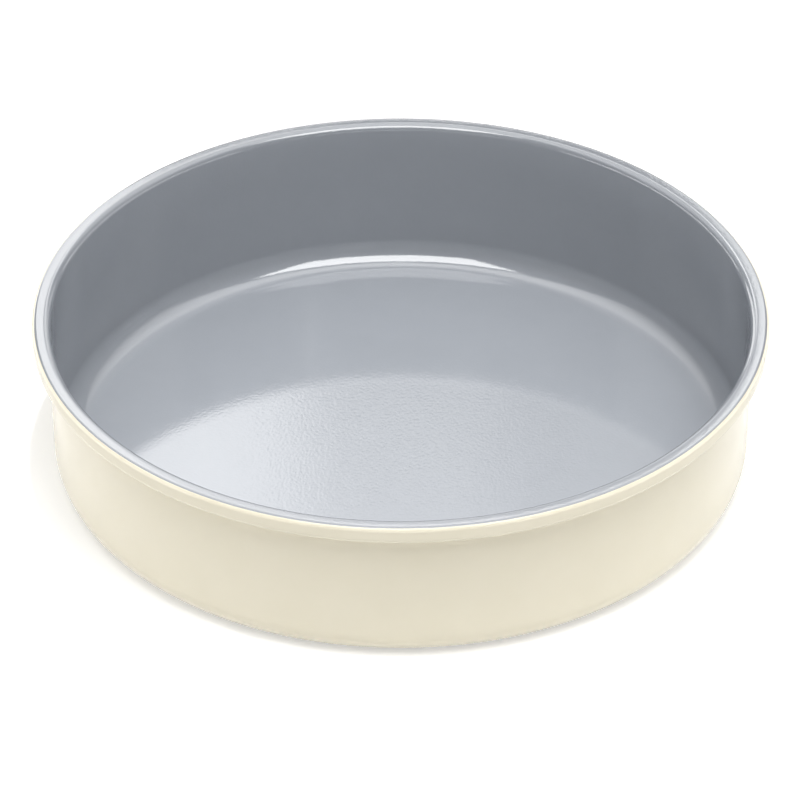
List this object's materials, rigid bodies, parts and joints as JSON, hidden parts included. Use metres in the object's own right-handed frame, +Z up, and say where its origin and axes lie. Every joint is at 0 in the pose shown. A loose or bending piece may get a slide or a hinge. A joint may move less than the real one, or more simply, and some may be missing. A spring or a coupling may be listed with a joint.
{
  "type": "round cake pan",
  "caption": "Straight-sided round cake pan of drawn steel with a rolled flat-topped rim, a grey ceramic non-stick coat inside and a cream ceramic coat outside.",
  "frame": {"origin": "centre of the underside, on the surface that the pan stands on", "axes": "+Z up along the pan's axis, out of its mouth; the pan is the same all round, so X and Y are free"},
  "size_m": [0.2406, 0.2406, 0.0555],
  "materials": {
    "aluminised_steel": "satin",
    "grey_ceramic": "gloss",
    "cream_ceramic": "satin gloss"
  },
  "bodies": {
    "root": {"steel_pan": "aluminised_steel", "inner_coating": "grey_ceramic", "outer_coating": "cream_ceramic", "rim_coating": "cream_ceramic"}
  },
  "joints": []
}
